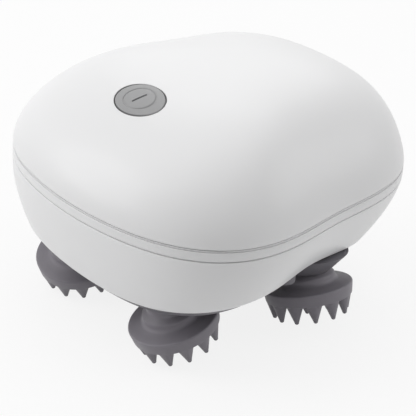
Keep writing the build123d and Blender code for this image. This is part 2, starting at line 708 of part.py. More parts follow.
with BuildPart(mode=Mode.PRIVATE) as fork_shape:
    # an arm along +X whose two tines stand on either side of the guide pin
    with Locations((0, 0, fork_top)):
        Cylinder(fork_radius, fork_thickness, align=high)
        Box(fork_radius, fork_gap + 2 * fork_tine, fork_thickness, mode=Mode.INTERSECT,
            align=(Align.MIN, Align.CENTER, Align.MAX))
        Cylinder(sleeve_radius - fork_tine, fork_thickness, align=high, mode=Mode.SUBTRACT)
    with Locations((fork_root, 0, fork_top)):
        Box(fork_radius, fork_gap, fork_thickness, mode=Mode.SUBTRACT,
            align=(Align.MIN, Align.CENTER, Align.MAX))

with BuildPart(mode=Mode.PRIVATE) as screw_core:
    with Locations((0, 0, -washer_end)):
        Cylinder(head_screw_radius, head_screw_length, align=low)
        Cylinder(head_screw_head, head_screw_head_height, align=high)
    with Locations((0, 0, -screw_head_end)):
        Box(head_screw_head, drive_width, drive_depth, align=low, mode=Mode.SUBTRACT)
        Box(drive_width, head_screw_head, drive_depth, align=low, mode=Mode.SUBTRACT)

for place, (x, y) in enumerate(spindles):
    leaning = head_plane(place)
    outward = spindle_angles[place]
    fork_turn = outward + 180 - lean_angles[place]

    with BuildPart() as head_skin:
        with Locations(leaning):
            add(skin_shape.part)
    finish(head_skin, f"head_skin_{place + 1}")

    with BuildPart() as head_hub:
        with Locations(leaning):
            add(hub_shape.part)
            with Locations(Location((0, 0, 0), (0, 0, fork_turn))):
                add(fork_shape.part)
    finish(head_hub, f"head_hub_{place + 1}")

    with BuildPart() as spindle:
        with Locations(leaning):
            with Locations((0, 0, -pin_end)):
                Cylinder(pin_radius, pin_end + shoulder_top, align=low)
            with Locations((0, 0, fork_top + clearance)):
                Cylinder(shoulder_radius, shoulder_top - fork_top - clearance, align=low)
        with Locations((x, y, pivot + web_low)):
            Cylinder(web_radius, web_thickness, align=low)
            Cylinder(spindle_collar, deck_low - clearance - pivot - web_low, align=low)
            Cylinder(shaft_radius, upper_top - shaft_short - pivot - web_low, align=low)
        with Locations(leaning):
            with Locations((0, 0, -pin_end)):
                Cylinder(head_screw_radius, head_screw_length - washer_thickness, align=low,
                         mode=Mode.SUBTRACT)
    finish(spindle, f"spindle_{place + 1}")

    with BuildPart() as head_washer:
        with Locations(leaning):
            with Locations((0, 0, -pin_end)):
                Cylinder(washer_radius, washer_thickness, align=high)
                Cylinder(head_screw_radius, washer_thickness, align=high, mode=Mode.SUBTRACT)
    finish(head_washer, f"head_washer_{place + 1}")

    with BuildPart() as head_screw:
        with Locations(leaning):
            add(screw_core.part)
    finish(head_screw, f"head_screw_{place + 1}")

    with BuildPart() as spindle_gear:
        turn = meshing_turn(0, sun_teeth, radians(outward), spindle_teeth)
        extrude(gear_face(x, y, head_gear_low, head_module, spindle_teeth, turn), amount=head_gear_width)
        with Locations((x, y, seam - head_gear_low)):
            Cylinder(shaft_radius + bush_wall, gear_hub, align=high)
        with Locations((x, y, seam - head_gear_low - gear_hub)):
            Cylinder(shaft_radius, gear_hub + head_gear_width, align=low, mode=Mode.SUBTRACT)
    finish(spindle_gear, f"spindle_gear_{place + 1}")

# ---- motor and cell ----------------------------------------------------------------------

with BuildPart() as motor_can:
    with Locations((pinion_x, 0, upper_top)):
        Cylinder(motor_radius, motor_height, align=low)
    fillet(motor_can.faces().sort_by(Axis.Z)[-1].edges(), motor_round)
    with Locations((pinion_x, 0, upper_top)):
        Cylinder(motor_boss_radius, motor_boss_height, align=high)
    with Locations((pinion_x, 0, upper_top - motor_boss_height)):
        Cylinder(motor_shaft_radius + running, motor_boss_height + motor_bore, align=low, mode=Mode.SUBTRACT)
    with Locations(*[(x, y, upper_top) for x, y in motor_screws_at]):
        Cylinder(small_screw_radius, small_screw_length - deck_thickness, align=low, mode=Mode.SUBTRACT)
finish(motor_can, "motor_can")

with BuildPart() as motor_shaft:
    with Locations((pinion_x, 0, seam - idler_wheel_low)):
        Cylinder(motor_shaft_radius, idler_wheel_low - upper_deck + deck_thickness + motor_bore - clearance,
                 align=low)
finish(motor_shaft, "motor_shaft")

with BuildPart() as motor_screws:
    with Locations(*[Plane(origin=(x, y, upper_low), z_dir=(0, 0, -1)) for x, y in motor_screws_at]):
        add(screw_shape)
finish(motor_screws, "motor_screws")

with BuildPart() as battery_cell:
    cell_end = Plane(origin=(cell_x, cell_length / 2, cell_z), x_dir=(1, 0, 0), z_dir=(0, -1, 0))
    with Locations(cell_end.offset(cell_nub)):
        Cylinder(cell_radius, cell_length - cell_nub, align=low)
    fillet(battery_cell.edges().filter_by(GeomType.CIRCLE), cell_round)
    with Locations(cell_end):
        Cylinder(cell_radius / 3, 2 * cell_nub, align=low)
finish(battery_cell, "battery_cell")

# ---- button, switch and circuit board ----------------------------------------------------

board_screws_at = [(x, y) for x in (-board_post_x, board_post_x) for y in (-board_post_y, board_post_y)]
board_under = board_distance + board_thickness
switch_top = board_distance - switch_height
crown_centre = button_proud - button_crown

with BuildPart() as button_cap:
    add(button_oval(0, button_depth, button_depth + button_proud))
    with BuildPart(mode=Mode.PRIVATE) as crown:
        with Locations(button_plane.offset(crown_centre)):
            Sphere(button_crown)
    add(crown.part, mode=Mode.INTERSECT)
    add(button_oval(button_flange, button_depth, button_flange_thickness))
    with Locations(button_plane.offset(-button_depth)):
        Cylinder(stem_radius, stem_length, align=high)
    with BuildSketch(button_plane.offset(button_proud)):
        Ellipse(oval_length / 2, oval_width / 2)
        Ellipse(oval_length / 2 - oval_groove, oval_width / 2 - oval_groove, mode=Mode.SUBTRACT)
    extrude(amount=-2 * oval_depth, mode=Mode.SUBTRACT)
    with BuildSketch(button_plane.offset(button_proud)):
        with Locations(Location((0, 0, 0), (0, 0, dash_turn))):
            SlotOverall(dash_length, dash_width)
    extrude(amount=-dash_depth, mode=Mode.SUBTRACT)
finish(button_cap, "button_cap")

with BuildPart() as indicator_bar:
    with BuildSketch(button_plane.offset(button_proud - dash_depth)):
        with Locations(Location((0, 0, 0), (0, 0, dash_turn))):
            SlotOverall(dash_length, dash_width)
    extrude(amount=dash_depth - dash_sunk)
finish(indicator_bar, "indicator_bar")

with BuildPart() as button_gasket:
    add(button_oval(button_clear + gasket_wall, shell_wall, 2 * shell_wall))
    add(button_oval(button_clear, shell_wall, 2 * shell_wall), mode=Mode.SUBTRACT)
    add(dome_solid(gasket_sunk), mode=Mode.INTERSECT)
finish(button_gasket, "button_gasket")

with BuildPart() as circuit_board:
    with Locations(button_plane.offset(-board_distance)):
        Box(board_length, board_width, board_thickness, align=high)
        with Locations(*board_screws_at):
            Cylinder(screw_hole, board_thickness, align=high, mode=Mode.SUBTRACT)
finish(circuit_board, "circuit_board")

with BuildPart() as board_screws:
    under_board = Plane(origin=button_plane.offset(-board_under).origin, x_dir=button_plane.x_dir,
                        z_dir=-button_plane.z_dir)
    with Locations(under_board):
        with Locations(*board_screws_at):
            Cylinder(small_screw_head, small_screw_head_height, align=low)
            Cylinder(small_screw_radius, board_screw_length, align=high)
finish(board_screws, "board_screws")

with BuildPart() as tact_switch:
    with Locations(button_plane.offset(-board_distance)):
        Box(switch_size, switch_size, switch_height, align=low)
    with Locations(button_plane.offset(-switch_top)):
        Cylinder(plunger_radius + running, switch_height - clearance, align=high, mode=Mode.SUBTRACT)
finish(tact_switch, "tact_switch")

with BuildPart() as switch_plunger:
    with Locations(button_plane.offset(-button_depth - stem_length)):
        Cylinder(plunger_radius, plunger_length, align=high)
finish(switch_plunger, "switch_plunger")

# ---- charging socket and its plug --------------------------------------------------------

mouth = Plane(origin=(socket_face, 0, seam - socket_drop), x_dir=(0, 1, 0), z_dir=(-1, 0, 0))
with BuildPart() as charge_socket:
    with BuildSketch(mouth):
        RectangleRounded(socket_width, socket_height, socket_height / 2 - socket_round)
    extrude(amount=socket_length)
    with BuildSketch(mouth):
        RectangleRounded(socket_width - 2 * socket_wall, socket_height - 2 * socket_wall,
                         socket_height / 2 - socket_wall - socket_round)
    extrude(amount=socket_length - socket_wall, mode=Mode.SUBTRACT)
    with Locations((socket_face - socket_length, 0, seam - socket_drop)):
        Box(socket_tongue, socket_width / 2, socket_wall, align=(Align.MIN, Align.CENTER, Align.CENTER))
finish(charge_socket, "charge_socket")

with BuildPart() as socket_board:
    with Locations((socket_face, 0, shelf_top)):
        Box(socket_length + shelf_end_gap, shelf_width - 2 * shelf_end_gap, board_thickness,
            align=(Align.MAX, Align.CENTER, Align.MIN))
finish(socket_board, "socket_board")

with BuildPart() as port_plug:
    with BuildSketch(mouth):
        RectangleRounded(port_width - 2 * plug_slack, port_height - 2 * plug_slack,
                         (port_height - port_flat) / 2 - plug_slack)
    extrude(amount=-plug_tongue - 2 * shell_wall)
    add(lower_solid(band_height, lower_depth, -plug_proud), mode=Mode.INTERSECT)
finish(port_plug, "port_plug")

# ---- leads inside the shell --------------------------------------------------------------


def lead(points):
    # one insulated wire through straight runs joined by arcs
    with BuildPart(mode=Mode.PRIVATE) as wire:
        with BuildLine() as route:
            FilletPolyline(*points, radius=lead_bend)
        with BuildSketch(Plane(origin=route.line @ 0, z_dir=route.line % 0)):
            Circle(lead_radius)
        sweep()
    return wire.part


def board_place(x, y, below):
    return button_plane.from_local_coords((x, y, -board_under - below))


motor_top = upper_top + motor_height
with BuildPart() as inner_leads:
    for side in (-1, 1):
        y = side * motor_lead_spread
        add(lead([(pinion_x, y, motor_top), (pinion_x, y, motor_top + motor_lead_rise),
                  board_place(motor_lead_place, y, motor_lead_drop), board_place(motor_lead_place, y, 0)]))
        y = side * cell_lead_spread
        near_board = board_place(cell_lead_place, y, cell_lead_drop)
        cell_end_y = side * cell_length / 2
        add(lead([(cell_x, cell_end_y, cell_z), (cell_x, cell_end_y + side * cell_lead_out, cell_z),
                  (cell_x + cell_lead_in, cell_end_y + side * cell_lead_in, near_board.Z),
                  near_board, board_place(cell_lead_place, y, 0)]))
finish(inner_leads, "inner_leads")
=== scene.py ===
# Electric scalp massager: smooth shells, a pressed-in button and four silicone kneading heads
import json
from math import cos, exp, pi, radians, sin, sqrt, tan

import bmesh
import bpy
from mathutils import Matrix, Vector
from mathutils.bvhtree import BVHTree


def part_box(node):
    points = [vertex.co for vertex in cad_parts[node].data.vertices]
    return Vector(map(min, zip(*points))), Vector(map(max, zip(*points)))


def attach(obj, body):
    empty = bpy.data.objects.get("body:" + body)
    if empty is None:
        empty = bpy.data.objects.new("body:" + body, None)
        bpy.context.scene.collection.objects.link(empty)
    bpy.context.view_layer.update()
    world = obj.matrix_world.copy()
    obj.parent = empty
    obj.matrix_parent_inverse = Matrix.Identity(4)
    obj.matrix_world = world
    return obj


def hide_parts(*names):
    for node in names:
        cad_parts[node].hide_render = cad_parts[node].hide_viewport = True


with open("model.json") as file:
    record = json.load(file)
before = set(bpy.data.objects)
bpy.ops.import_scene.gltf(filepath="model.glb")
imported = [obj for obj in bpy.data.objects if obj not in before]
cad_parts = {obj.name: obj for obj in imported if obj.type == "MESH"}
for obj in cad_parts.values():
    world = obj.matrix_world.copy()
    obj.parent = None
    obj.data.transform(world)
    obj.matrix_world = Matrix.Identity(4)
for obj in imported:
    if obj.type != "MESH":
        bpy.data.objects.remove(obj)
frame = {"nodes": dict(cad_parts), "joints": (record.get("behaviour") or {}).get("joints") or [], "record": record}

scene = bpy.context.scene
nodes = frame["nodes"]
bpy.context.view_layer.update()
mm = 0.001


def roundTurns(count):
    return [2 * pi * k / count for k in range(count)]


def quarterTurns(steps, first=0):
    return [pi / 2 * k / steps for k in range(first, steps + 1)]


def ringMesh(rings, closed=False):
    # a surface through rings of points; a ring of one point is a pole, closed joins last to first
    mesh = bmesh.new()
    rows = [[mesh.verts.new(Vector(point) * mm) for point in ring] for ring in rings]
    pairs = list(zip(rows, rows[1:]))
    if closed:
        pairs.append((rows[-1], rows[0]))
    for low, high in pairs:
        count = max(len(low), len(high))
        for k in range(count):
            nextK = (k + 1) % count
            if len(low) == 1:
                corners = [low[0], high[nextK], high[k]]
            elif len(high) == 1:
                corners = [low[k], low[nextK], high[0]]
            else:
                corners = [low[k], low[nextK], high[nextK], high[k]]
            mesh.faces.new(corners)
    bmesh.ops.recalc_face_normals(mesh, faces=mesh.faces)
    return mesh


def capped(rings):
    # the rings with a pole in the middle of the first and of the last one
    first, last = (sum(ring, Vector()) / len(ring) for ring in (rings[0], rings[-1]))
    return [[first], *rings, [last]]


def shadeSmooth(data, sharpAngle=35.0):
    data.shade_smooth()
    data.set_sharp_from_angle(angle=radians(sharpAngle))


def asObject(name, mesh, sharpAngle=35.0):
    data = bpy.data.meshes.new(name)
    mesh.to_mesh(data)
    mesh.free()
    shadeSmooth(data, sharpAngle)
    piece = bpy.data.objects.new(name, data)
    scene.collection.objects.link(piece)
    return piece


def carve(piece, tool):
    # cuts the shape of a tool out of a piece and uses the tool up
    cut = piece.modifiers.new("carve", "BOOLEAN")
    cut.operation = "DIFFERENCE"
    cut.solver = "EXACT"
    cut.object = tool
    bpy.context.view_layer.update()
    solved = piece.evaluated_get(bpy.context.evaluated_depsgraph_get())
    data = bpy.data.meshes.new_from_object(solved)
    piece.modifiers.clear()
    whole = piece.data
    piece.data = data
    bpy.data.meshes.remove(whole)
    bpy.data.objects.remove(tool)
    shadeSmooth(data)


def softCorner(start, corner, end, radius, steps):
    # points of a rounded corner between two straight runs of a profile
    start, corner, end = Vector(start), Vector(corner), Vector(end)
    toStart, toEnd = (start - corner).normalized(), (end - corner).normalized()
    half = toStart.angle(toEnd) / 2
    reach = radius / tan(half)
    centre = corner + (toStart + toEnd).normalized() * (radius / sin(half))
    first, last = corner + toStart * reach - centre, corner + toEnd * reach - centre
    span = first.angle(last)
    points = []
    for k in range(steps + 1):
        share = k / steps
        mixed = (first * sin((1 - share) * span) + last * sin(share * span)) / sin(span)
        points.append(tuple(centre + mixed))
    return points


def roundedProfile(corners, steps):
    # a closed profile from rows of (point, radius), where a corner of radius 0 stays sharp
    result = []
    for k, (point, radius) in enumerate(corners):
        if radius == 0:
            result.append(point)
            continue
        before, after = corners[k - 1][0], corners[(k + 1) % len(corners)][0]
        result.extend(softCorner(before, point, after, radius, steps))
    return result


def dress(piece, finish, body, *replaced):
    # gives a piece its finish, hides the CAD nodes that it stands for and parents it to the body that carries it
    piece.data.materials.clear()
    piece.data.materials.append(finishes[finish])
    if replaced:
        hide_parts(*replaced)
    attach(piece, body)


class Port:
    # a socket in a node tree, which adds Math nodes as it is used in sums

    def __init__(self, maker, socket):
        self.maker, self.socket = maker, socket

    def maths(self, operation, first, second):
        return self.maker.node("ShaderNodeMath", {"operation": operation}, {0: first, 1: second})

    def __add__(self, other):
        return self.maths("ADD", self, other)

    def __sub__(self, other):
        return self.maths("SUBTRACT", self, other)

    def __mul__(self, other):
        return self.maths("MULTIPLY", self, other)

    def __rsub__(self, other):
        return self.maths("SUBTRACT", other, self)

    def __or__(self, other):
        return self.maths("MAXIMUM", self, other)

    __radd__ = __add__
    __rmul__ = __mul__


class NodeMaker:
    # makes and links the nodes of one tree

    def __init__(self, tree):
        self.tree = tree

    def feed(self, socket, value):
        if isinstance(value, Port):
            self.tree.links.new(value.socket, socket)
        else:
            socket.default_value = value

    def node(self, kind, settings=None, inputs=None, output=0):
        made = self.tree.nodes.new(kind)
        for key, value in (settings or {}).items():
            setattr(made, key, value)
        for key, value in (inputs or {}).items():
            self.feed(made.inputs[key], value)
        return Port(self, made.outputs[output])

    def seenPlainly(self):
        # 1 for rays from the camera and for those that mirrors and glass send on
        rays = [self.node("ShaderNodeLightPath", output=name)
                for name in ("Is Camera Ray", "Is Glossy Ray", "Is Transmission Ray")]
        return rays[0] | rays[1] | rays[2]


def tint(colour, factor):
    return tuple(min(1.0, part * factor) for part in colour) + (1.0,)


class Shade(NodeMaker):
    # a material and its nodes

    def __init__(self, name, baseColour, roughness, metallic=0.0, **constants):
        self.material = bpy.data.materials.new(name)
        self.material.use_nodes = True
        super().__init__(self.material.node_tree)
        self.surface = self.tree.nodes["Principled BSDF"]
        self.set("Base Color", (*baseColour, 1.0))
        self.set("Roughness", roughness)
        self.set("Metallic", metallic)
        for socketName, value in constants.items():
            self.set(socketName.replace("_", " "), value)
        self.where = self.node("ShaderNodeTexCoord", output="Object")

    def set(self, socketName, value):
        self.feed(self.surface.inputs[socketName], value)

    def noise(self, perMillimetre, detail):
        inputs = {"Vector": self.where, "Scale": perMillimetre / mm, "Detail": detail}
        return self.node("ShaderNodeTexNoise", inputs=inputs)

    def mix(self, factor, first, second):
        # the colours of this node are its inputs 6 and 7 and its output 2
        inputs = {0: factor, 6: first, 7: second}
        return self.node("ShaderNodeMix", {"data_type": "RGBA"}, inputs, output=2)

    def shift(self, colour, factor, look):
        # lets the colour drift from its darker to its lighter tint
        dark, light = tint(colour, look["dark"]), tint(colour, look["light"])
        self.set("Base Color", self.mix(factor, dark, light))

    def polish(self, roughness, factor, look):
        self.set("Roughness", roughness - look["roughSpread"] / 2 + factor * look["roughSpread"])

    def bump(self, height, look):
        inputs = {"Strength": look["bump"], "Distance": look["deep"] * mm, "Height": height}
        self.set("Normal", self.node("ShaderNodeBump", inputs=inputs))


plasticLook = {"flow": 0.02, "flowDetail": 2.0, "dark": 0.985, "light": 1.012, "grain": 3.2,
               "grainDetail": 2.0, "roughSpread": 0.06, "peel": 0.16, "peelDetail": 1.0,
               "bump": 0.25, "deep": 0.05, "coatRoughness": 0.08}


def mouldedPlastic(name, colour, roughness, grain, orangePeel, coat=0.0):
    # injection-moulded plastic: faint flow shade, fine spark grain and a slow orange peel
    look = plasticLook
    shade = Shade(name, colour, roughness, Coat_Weight=coat, Coat_Roughness=look["coatRoughness"])
    shade.shift(colour, shade.noise(look["flow"], look["flowDetail"]), look)
    fine = shade.noise(look["grain"], look["grainDetail"])
    shade.polish(roughness, fine, look)
    shade.bump(fine * grain + shade.noise(look["peel"], look["peelDetail"]) * orangePeel, look)
    return shade.material


siliconeLook = {"mottle": 0.12, "mottleDetail": 4.0, "dark": 0.93, "light": 1.06, "tooth": 4.0,
                "toothDetail": 3.0, "roughSpread": 0.08, "toothHigh": 0.6, "mottleHigh": 0.5,
                "bump": 0.3, "deep": 0.04, "sheen": 0.12, "sheenRoughness": 0.5}


def siliconeRubber(name, colour, roughness):
    # moulded silicone: matt, slightly mottled, with dust-fine tooth
    look = siliconeLook
    shade = Shade(name, colour, roughness, Sheen_Weight=look["sheen"],
                  Sheen_Roughness=look["sheenRoughness"])
    mottle = shade.noise(look["mottle"], look["mottleDetail"])
    shade.shift(colour, mottle, look)
    tooth = shade.noise(look["tooth"], look["toothDetail"])
    shade.polish(roughness, tooth, look)
    shade.bump(tooth * look["toothHigh"] + mottle * look["mottleHigh"], look)
    return shade.material


metalLook = {"bandsPerScale": 20, "distortion": 1.5, "detail": 3.0, "smudge": 0.4, "smudgeDetail": 4.0,
             "dark": 0.88, "light": 1.08, "roughSpread": 0.12, "bump": 0.15, "deep": 0.02}


def turnedMetal(name, colour, roughness, marksPerMillimetre=2.0):
    # machined metal: fine tool marks across Z and a slightly uneven polish
    look = metalLook
    shade = Shade(name, colour, roughness, metallic=1.0)
    marks = shade.node("ShaderNodeTexWave", {"wave_type": "BANDS", "bands_direction": "Z"},
                       {"Vector": shade.where, "Scale": marksPerMillimetre / mm / look["bandsPerScale"],
                        "Distortion": look["distortion"], "Detail": look["detail"]}, output="Fac")
    smudge = shade.noise(look["smudge"], look["smudgeDetail"])
    shade.shift(colour, smudge, look)
    shade.polish(roughness, smudge, look)
    shade.bump(marks, look)
    return shade.material


boardLook = {"roughness": 0.35, "offset": 0.4, "squash": 1.3, "scale": 380.0, "mortar": 0.012,
             "dark": 1.0, "light": 1.7, "bump": 0.3, "deep": 0.03}


def circuitLacquer(name, colour):
    # solder resist with copper tracks faintly showing through
    look = boardLook
    shade = Shade(name, colour, look["roughness"])
    tracks = shade.node("ShaderNodeTexBrick", {"offset": look["offset"], "squash": look["squash"]},
                        {"Vector": shade.where, "Scale": look["scale"], "Mortar Size": look["mortar"]},
                        output="Fac")
    shade.shift(colour, tracks, look)
    shade.bump(tracks, look)
    return shade.material


# name, colour and roughness, then what each kind adds: grain, orange peel and coat, or tool marks
finishes = {
    "shell": mouldedPlastic("whiteShell", (0.8, 0.8, 0.805), 0.42, 0.25, 1.0, coat=0.1),
    "trim": mouldedPlastic("paleBand", (0.78, 0.78, 0.785), 0.4, 0.25, 0.8, coat=0.1),
    "cover": mouldedPlastic("greyCover", (0.15, 0.143, 0.16), 0.5, 1.0, 0.4),
    "silicone": siliconeRubber("greySilicone", (0.2, 0.187, 0.212), 0.52),
    "seal": siliconeRubber("blackSeal", (0.03, 0.029, 0.031), 0.6),
    "gasket": siliconeRubber("darkGasket", (0.07, 0.07, 0.072), 0.6),
    "plug": siliconeRubber("paleRubber", (0.66, 0.66, 0.67), 0.55),
    "lead": siliconeRubber("redSleeve", (0.4, 0.02, 0.015), 0.45),
    "button": mouldedPlastic("greyButton", (0.3, 0.3, 0.304), 0.42, 0.9, 0.3),
    "lamp": mouldedPlastic("smokedLamp", (0.06, 0.06, 0.063), 0.3, 0.2, 0.3),
    "hub": mouldedPlastic("greyHub", (0.09, 0.088, 0.095), 0.5, 0.7, 0.3),
    "frame": mouldedPlastic("greyDeck", (0.26, 0.265, 0.275), 0.5, 0.8, 0.5),
    "nylon": mouldedPlastic("naturalNylon", (0.72, 0.7, 0.62), 0.42, 0.4, 0.5),
    "switch": mouldedPlastic("blackSwitch", (0.02, 0.02, 0.021), 0.45, 0.5, 0.3),
    "cell": mouldedPlastic("blueSleeve", (0.04, 0.11, 0.32), 0.3, 0.2, 0.6, coat=0.3),
    "board": circuitLacquer("greenLacquer", (0.01, 0.1, 0.04)),
    "steel": turnedMetal("turnedSteel", (0.56, 0.56, 0.57), 0.3),
    "screw": turnedMetal("platedScrew", (0.66, 0.65, 0.62), 0.22, 3.0),
    "bronze": turnedMetal("sinteredBronze", (0.6, 0.4, 0.2), 0.4),
    "motor": turnedMetal("zincCan", (0.6, 0.61, 0.62), 0.28, 1.0),
    "socket": turnedMetal("platedSocket", (0.62, 0.61, 0.58), 0.25),
}
slotOf = {part["node"]: part["material_slot"] for part in frame["record"]["subparts"]}
for nodeName, node in nodes.items():
    node.data.materials.clear()
    node.data.materials.append(finishes[slotOf[nodeName]])
print("materials made:", len(finishes))


# the shell's form in millimetres: waves of its plan, the dome's curve and the lower shell's taper
form = {
    "planRadius": 64.0, "egg": 0.12, "oval": 0.021, "corner": 0.052, "square": -0.037, "pinch": -0.026,
    "footOval": 0.012, "footCorner": 0.087, "footSquare": -0.03,
    "domeHeight": 32.2, "domeShoulder": 1.616, "domeBluntness": 3.149, "crownShift": 16.5,
    "tipDown": 0.081, "wall": 2.2, "around": 288, "seamClear": 0.02,
    "bandHeight": 4.1, "lowerDepth": 26.2, "lowerCurve": 1.672, "footShare": 0.883, "footShift": -2.2,
    "footLean": 0.165, "footSaddle": 4.67, "archRadius": 180.0, "archDrop": 22.6, "archPlace": 0.2,
    "deepest": 1.6, "halvings": 30,
}
middle = form["planRadius"] * (form["egg"] + form["corner"] + form["pinch"])
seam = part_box("trim_band")[0][2] / mm + form["bandHeight"]
angles = roundTurns(form["around"])


def planWave(angle, two, three, four):
    wave = 1 + form["egg"] * cos(angle) + two * cos(2 * angle) + three * cos(3 * angle)
    return form["planRadius"] * (wave + four * cos(4 * angle) + form["pinch"] * cos(5 * angle))


def upperWave(angle):
    return planWave(angle, form["oval"], form["corner"], form["square"])


def domeSpread(rise):
    return (1 - min(1.0, rise) ** form["domeShoulder"]) ** (1 / form["domeBluntness"])


def riseOfSpread(spread):
    return (1 - spread ** form["domeBluntness"]) ** (1 / form["domeShoulder"])


def domePoint(rise, angle, inset=0.0):
    height = (form["domeHeight"] - inset) * rise
    radius = domeSpread(rise) * upperWave(angle) - inset
    along = radius * cos(angle) + form["crownShift"] * rise ** 2
    lift = seam + height * (1 - form["tipDown"] * along / form["planRadius"])
    return Vector((along - middle, radius * sin(angle), lift))


def crownPoint(inset=0.0):
    point = domePoint(1.0, pi / 2, inset)
    point.y = 0.0
    return point


def domeRing(rise, inset=0.0, drop=0.0):
    return [domePoint(rise, angle, inset) - Vector((0, 0, drop)) for angle in angles]


def lowerPoint(depth, angle, inset=0.0):
    full = form["lowerDepth"] - form["footLean"] * cos(angle) + form["footSaddle"] * cos(2 * angle)
    share = max(0.0, (depth - form["bandHeight"]) / (full - form["bandHeight"]))
    blend = min(share, 1.0)
    foot = planWave(angle, form["footOval"], form["footCorner"], form["footSquare"])
    spread = 1 - (1 - form["footShare"]) * share ** form["lowerCurve"]
    radius = spread * ((1 - blend) * upperWave(angle) + blend * foot) - inset
    along = radius * cos(angle) + form["footShift"] * blend - middle
    return Vector((along, radius * sin(angle), seam - depth))


def lowerRing(depth, inset=0.0):
    return [lowerPoint(depth, angle, inset) for angle in angles]


def archHeight(x, lift=0.0):
    radius = form["archRadius"] + lift
    away = x - (form["archPlace"] - middle)
    return seam - form["archDrop"] - form["archRadius"] + sqrt(radius ** 2 - away ** 2)


def rimDepth(angle, inset, lift=0.0):
    # the depth at which the wall meets the arch
    near, far = form["bandHeight"], form["lowerDepth"] * form["deepest"]
    for _ in range(form["halvings"]):
        depth = (near + far) / 2
        point = lowerPoint(depth, angle, inset)
        if point.z > archHeight(point.x, lift):
            near = depth
        else:
            far = depth
    return depth


topSize = {"lip": 0.35, "lipSteps": 3, "lipReach": 1.5, "shoulderRise": 0.75, "innerCrown": 0.14,
           "risesLow": 26, "risesHigh": 40, "riseGrowth": 1.35}


def makeTopShell():
    # rings from the inner crown down, round the edge at the seam and up to the outer crown
    size = topSize
    lip, lowCount, highCount = size["lip"], size["risesLow"], size["risesHigh"]
    shoulder = size["shoulderRise"]
    rises = [shoulder * (k / lowCount) ** size["riseGrowth"] for k in range(lowCount + 1)]
    rises += [riseOfSpread(domeSpread(shoulder) * (1 - k / highCount)) for k in range(1, highCount)]
    rings = [[crownPoint(form["wall"])]]
    rings += [domeRing(rise, form["wall"]) for rise in reversed(rises)
              if domeSpread(rise) > size["innerCrown"]]
    lipRise = lip / form["domeHeight"]
    for turn in quarterTurns(size["lipSteps"]):
        rings.append(domeRing(lipRise, lip * (1 - sin(turn)), lip * cos(turn)))
    rings += [domeRing(rise) for rise in rises if rise > size["lipReach"] * lipRise]
    rings.append([crownPoint()])
    return asObject("topShell", ringMesh(rings))


topShell = makeTopShell()
print("upper shell:", len(topShell.data.vertices), "vertices")


# heights are measured from the dome along the button's axis
buttonSize = {
    "rise": 0.833, "riseStep": 0.001, "long": 14.6, "wide": 20.2, "proud": 0.55, "crown": 58.0,
    "depth": 4.6, "flange": 1.1, "flangeThick": 1.0, "flangeRise": 0.3, "stem": 2.4, "stemLong": 1.0,
    "edge": 0.4, "edgeSteps": 6, "around": 160, "ovalLong": 11.0, "ovalWide": 13.0,
    "grooveWide": 0.9, "grooveDeep": 0.3,
    "innerShares": (0.15, 0.3, 0.45, 0.6, 0.75, 0.9), "outerShares": (0.15, 0.35, 0.55, 0.75, 0.9, 1.0),
    "grooveShape": ((0.0, 0.0), (0.08, 0.1), (0.2, 0.45), (0.35, 0.85), (0.5, 1.0), (0.65, 0.95),
                    (0.78, 0.7), (0.88, 0.25), (1.0, 0.0)),
}


def placeOfButton():
    rise, step = buttonSize["rise"], buttonSize["riseStep"]
    uphill = (domePoint(rise + step, pi) - domePoint(rise - step, pi)).normalized()
    outward = Vector((-uphill.z, 0, uphill.x))
    across = outward.cross(uphill)
    turn = Matrix((uphill, across, outward)).transposed().to_4x4()
    return Matrix.Translation(domePoint(rise, pi)) @ turn


buttonPlace = placeOfButton()
buttonAxis = buttonPlace.to_3x3() @ Vector((0, 0, 1))


def onButtonAxis(height):
    return [buttonPlace @ Vector((0, 0, height))]


def crownHeight(x, y):
    crown = buttonSize["crown"]
    return buttonSize["proud"] - crown + sqrt(crown ** 2 - x * x - y * y)


def ovalRing(halfLong, halfWide, height=None, sunk=0.0):
    # an oval round the button's axis, level or on its crown
    ring = []
    for angle in roundTurns(buttonSize["around"]):
        x, y = halfLong * cos(angle), halfWide * sin(angle)
        z = crownHeight(x, y) - sunk if height is None else height
        ring.append(buttonPlace @ Vector((x, y, z)))
    return ring


def marginRing(margin, height=None, sunk=0.0):
    return ovalRing(buttonSize["long"] / 2 + margin, buttonSize["wide"] / 2 + margin, height, sunk)


def makeButtonCap():
    size = buttonSize
    groove, deep, edge = size["grooveWide"], size["grooveDeep"], size["edge"]
    depth, stem = size["depth"], size["stem"]
    longHalf, wideHalf = size["ovalLong"] / 2 - groove, size["ovalWide"] / 2 - groove
    longRest = size["long"] / 2 - edge - longHalf - groove
    wideRest = size["wide"] / 2 - edge - wideHalf - groove
    rings = [onButtonAxis(crownHeight(0, 0))]
    rings += [ovalRing(longHalf * share, wideHalf * share) for share in size["innerShares"]]
    rings += [ovalRing(longHalf + groove * share, wideHalf + groove * share, sunk=sunk * deep)
              for share, sunk in size["grooveShape"]]
    rings += [ovalRing(longHalf + groove + longRest * share, wideHalf + groove + wideRest * share)
              for share in size["outerShares"]]
    rings += [marginRing(edge * (sin(turn) - 1), sunk=edge * (1 - cos(turn)))
              for turn in quarterTurns(size["edgeSteps"], 1)]
    flangeTop = size["flangeThick"] - depth
    rings += [marginRing(0, flangeTop + size["flangeRise"]), marginRing(0, flangeTop),
              marginRing(size["flange"], flangeTop), marginRing(size["flange"], -depth)]
    stemEnd = -depth - size["stemLong"]
    rings += [ovalRing(stem, stem, -depth), ovalRing(stem, stem, stemEnd), onButtonAxis(stemEnd)]
    return asObject("buttonCap", ringMesh(rings))


